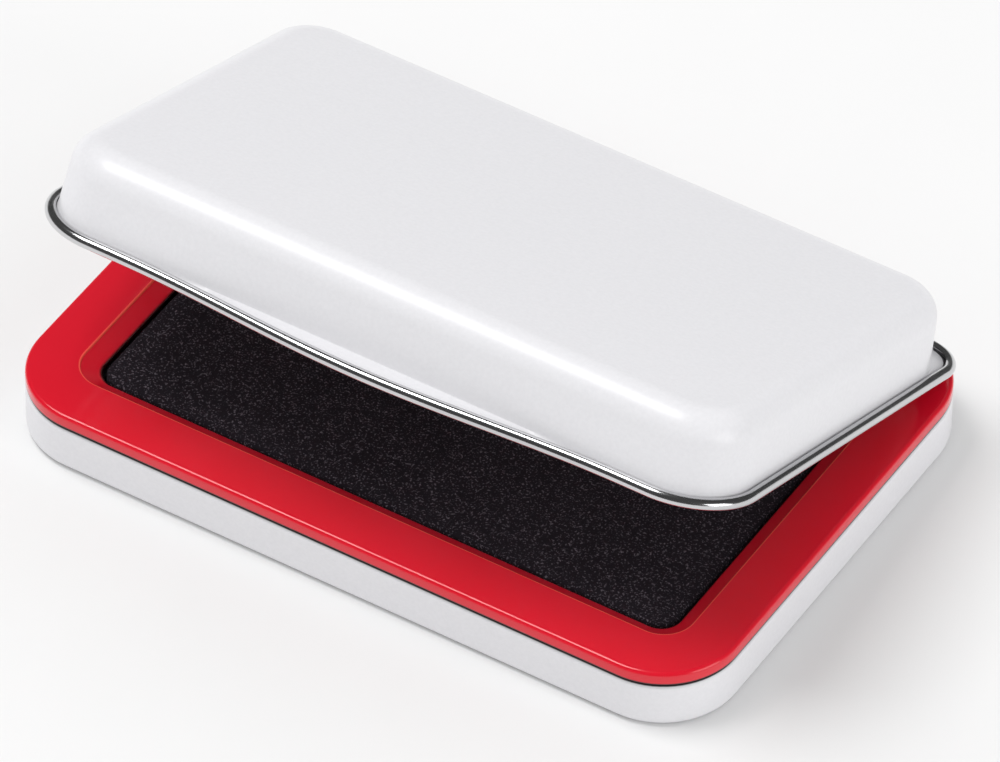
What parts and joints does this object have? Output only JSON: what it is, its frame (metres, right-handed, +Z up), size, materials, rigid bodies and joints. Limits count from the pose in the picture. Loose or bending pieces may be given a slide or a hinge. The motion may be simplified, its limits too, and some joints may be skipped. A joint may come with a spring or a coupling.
{
  "type": "ink pad",
  "caption": "Pocket ink pad: a hinged white tinplate case with a thumb lip on the lid, and an ink-soaked cloth pad held in a red moulded frame.",
  "frame": {"origin": "centre of the pan's outline, on the surface it rests on", "axes": "+X along the length, to the right seen from the opening side; +Y towards the hinge; +Z up"},
  "size_m": [0.077, 0.0536, 0.0321],
  "materials": {
    "pan_enamel": "white stoved enamel on tinplate, satin gloss",
    "frame_plastic": "glossy moulded red",
    "tray_plastic": "matt black moulding",
    "felt": "ink-soaked felt",
    "inked_cloth": "fine woven cloth, black ink with a violet cast",
    "lid_enamel": "white stoved enamel outside, bare tinplate at the curled rim and inside",
    "liner_plastic": "natural thin moulding",
    "pin_steel": "bright drawn wire"
  },
  "bodies": {
    "base": {"base_pan": "pan_enamel", "pad_frame": "frame_plastic", "pad_tray": "tray_plastic", "felt_core": "felt", "ink_cloth": "inked_cloth", "hinge_pin_left": "pin_steel", "hinge_pin_right": "pin_steel"},
    "lid": {"lid_shell": "lid_enamel", "lid_liner": "liner_plastic"}
  },
  "joints": [
    {"name": "lid_hinge", "type": "hinge", "parent": "base", "child": "lid", "pos_m": [0, 0.0258, 0.0084], "axis": [-1, 0, 0], "range_deg": [-20.69, 89.31]}
  ]
}
